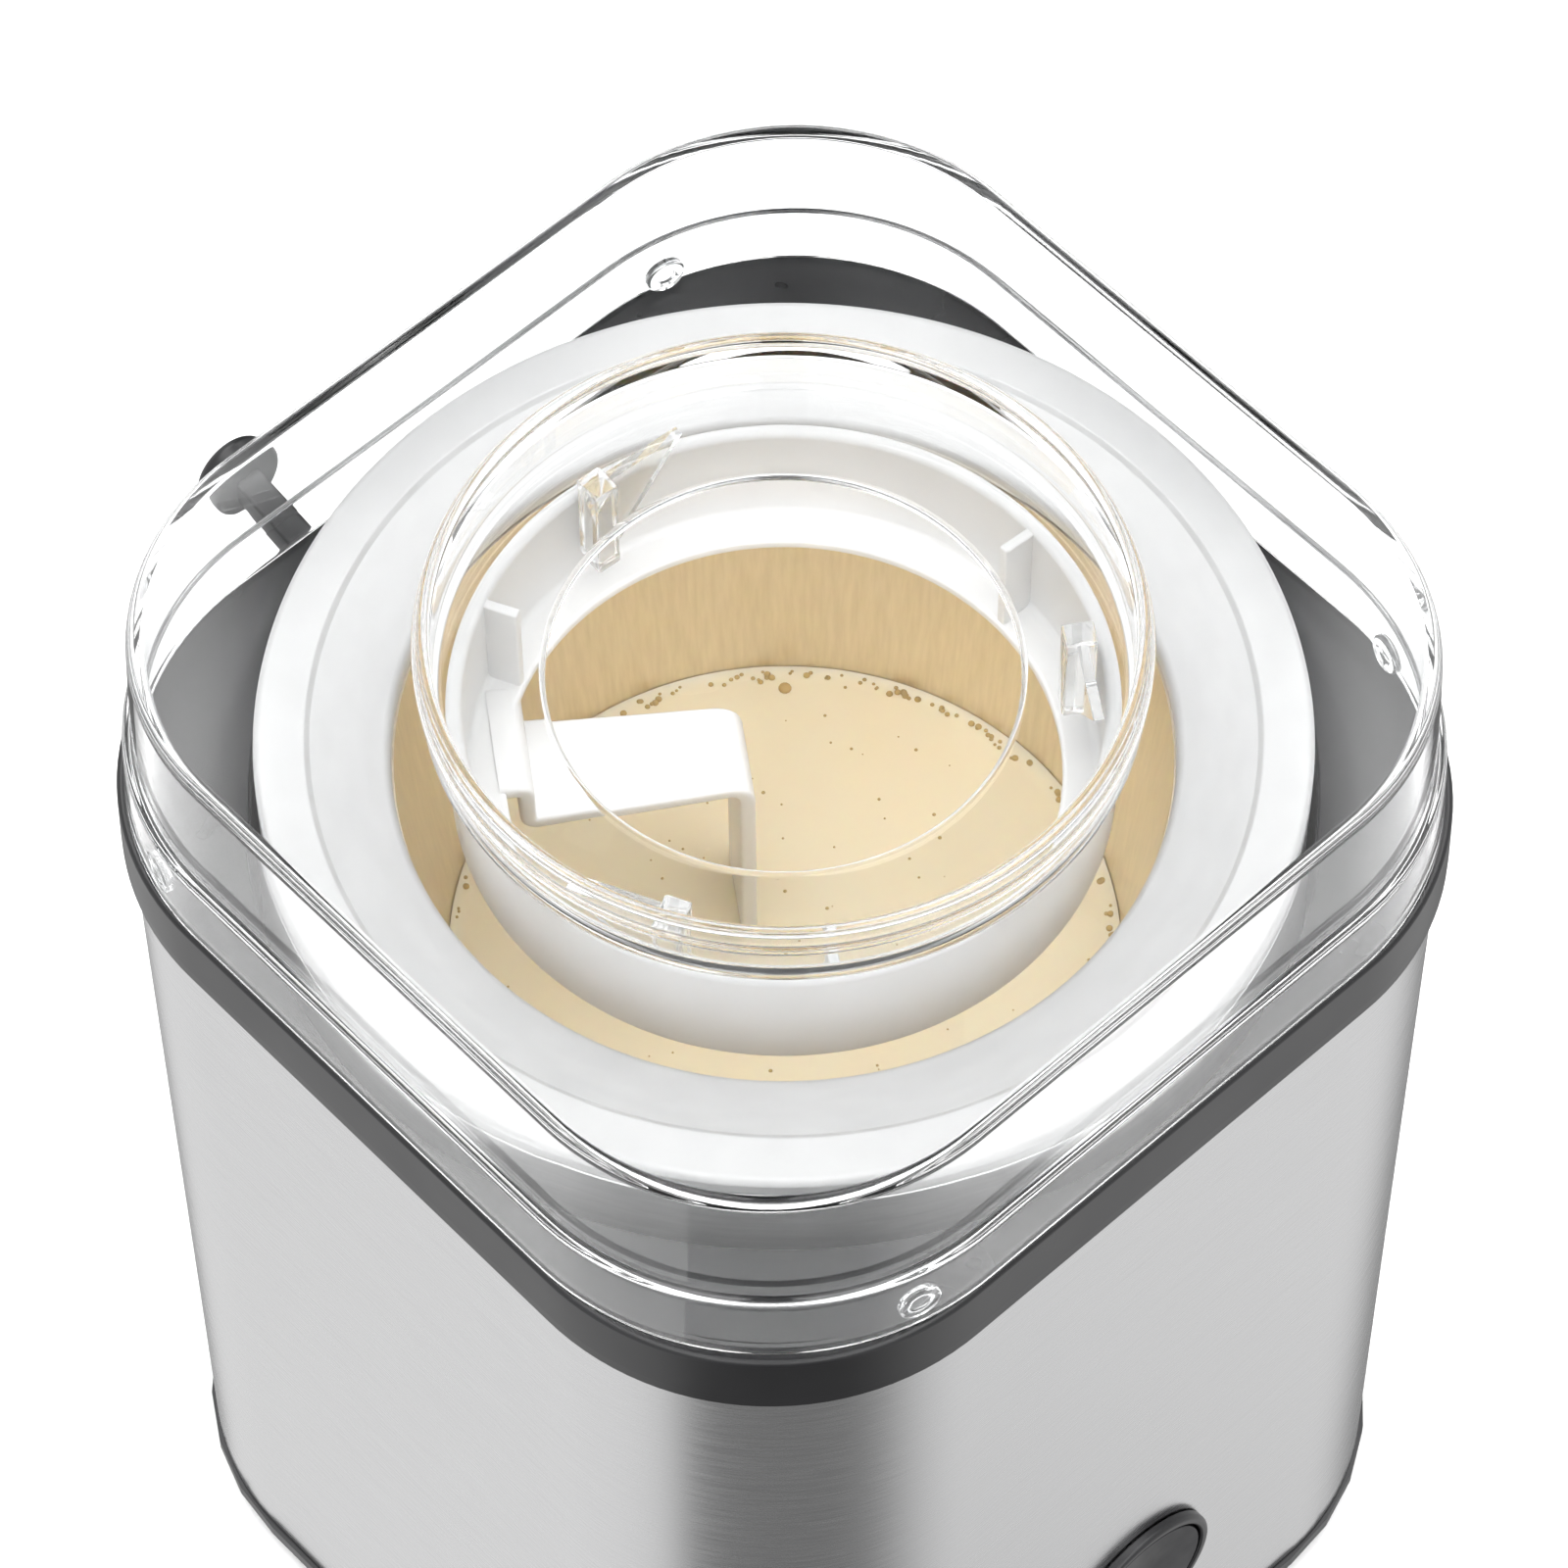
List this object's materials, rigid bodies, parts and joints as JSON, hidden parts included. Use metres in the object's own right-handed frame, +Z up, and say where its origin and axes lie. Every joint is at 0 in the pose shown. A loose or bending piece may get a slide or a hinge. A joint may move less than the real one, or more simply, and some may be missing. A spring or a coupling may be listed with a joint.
{
  "type": "ice cream maker",
  "caption": "Square steel ice cream maker with a clear lid, a fixed white paddle and a lift-out freezer bowl that a geared motor turns.",
  "frame": {"origin": "bottom centre of the whole machine's box, on the table; the drive axis is 11 mm in front of it", "axes": "+Z up, power button towards -Y, +X to the right seen from the front"},
  "size_m": [0.2052, 0.2279, 0.291],
  "materials": {
    "brushed_steel": "brushed across, satin",
    "black_plastic": "smooth, semi-gloss",
    "grey_plastic": "moulded, matte",
    "plain_steel": "plated",
    "rubber": "matte",
    "bronze": "sintered",
    "white_plastic": "smooth, satin",
    "lead_sleeve": "sleeved wires",
    "satin_metal": "satin, spun",
    "coolant": "frozen gel",
    "clear_plastic": "clear, polished"
  },
  "bodies": {
    "base": {"steel_sleeve": "brushed_steel", "top_rim": "black_plastic", "bowl_well": "grey_plastic", "base_pan": "black_plastic", "tie_rod_1": "plain_steel", "tie_rod_2": "plain_steel", "tie_rod_3": "plain_steel", "tie_rod_4": "plain_steel", "base_screw_1": "plain_steel", "base_screw_2": "plain_steel", "base_screw_3": "plain_steel", "base_screw_4": "plain_steel", "foot_1": "rubber", "foot_2": "rubber", "foot_3": "rubber", "foot_4": "rubber", "plate_post_1": "plain_steel", "plate_post_2": "plain_steel", "plate_post_3": "plain_steel", "plate_post_4": "plain_steel", "plate_screw_1": "plain_steel", "plate_screw_2": "plain_steel", "plate_screw_3": "plain_steel", "plate_screw_4": "plain_steel", "gear_plate": "plain_steel", "motor_can": "plain_steel", "motor_screw_1": "plain_steel", "motor_screw_2": "plain_steel", "lower_bearing": "bronze", "upper_bearing": "bronze", "switch_body": "grey_plastic", "button_bezel": "black_plastic", "cord_gland": "rubber", "cord_hook_upper": "black_plastic", "cord_hook_lower": "black_plastic", "terminal_block": "white_plastic", "switch_lead": "lead_sleeve", "motor_lead": "lead_sleeve"},
    "drive": {"drive_shaft": "plain_steel", "output_gear": "white_plastic", "drive_hub": "white_plastic"},
    "rotor": {"motor_shaft": "plain_steel", "pinion": "bronze"},
    "bowl": {"bowl_outer_shell": "satin_metal", "bowl_inner_liner": "satin_metal", "bowl_rim": "satin_metal", "bowl_coolant": "coolant", "bowl_socket": "white_plastic"},
    "lid": {"lid": "clear_plastic"},
    "paddle": {"paddle": "white_plastic"},
    "button": {"button_cap": "black_plastic"}
  },
  "joints": [
    {"name": "drive_spin", "type": "hinge", "parent": "base", "child": "drive", "pos_m": [0, -0.011, 0.073], "axis": [0, 0, 1], "continuous": true},
    {"name": "motor_spin", "type": "hinge", "parent": "base", "child": "rotor", "pos_m": [0.045, -0.011, 0.073], "axis": [0, 0, 1], "continuous": true},
    {"name": "bowl_lift", "type": "slide", "parent": "drive", "child": "bowl", "axis": [0, 0, 1], "range_m": [0, 0.165]},
    {"name": "lid_lift", "type": "slide", "parent": "base", "child": "lid", "axis": [0, 0, 1], "range_m": [0, 0.33]},
    {"name": "paddle_turn", "type": "hinge", "parent": "lid", "child": "paddle", "pos_m": [0, -0.011, 0.253], "axis": [0, 0, 1], "range_deg": [-24, 60]},
    {"name": "button_press", "type": "slide", "parent": "base", "child": "button", "axis": [0, 1, 0], "range_m": [0, 0.0025], "stiffness_N_per_m": 400, "springref_m": -0.002}
  ],
  "couplings": [
    {"joint": "motor_spin", "follows": "drive_spin", "ratio": -4},
    {"joint": "lid_lift", "follows": "bowl_lift", "ratio": 2}
  ]
}
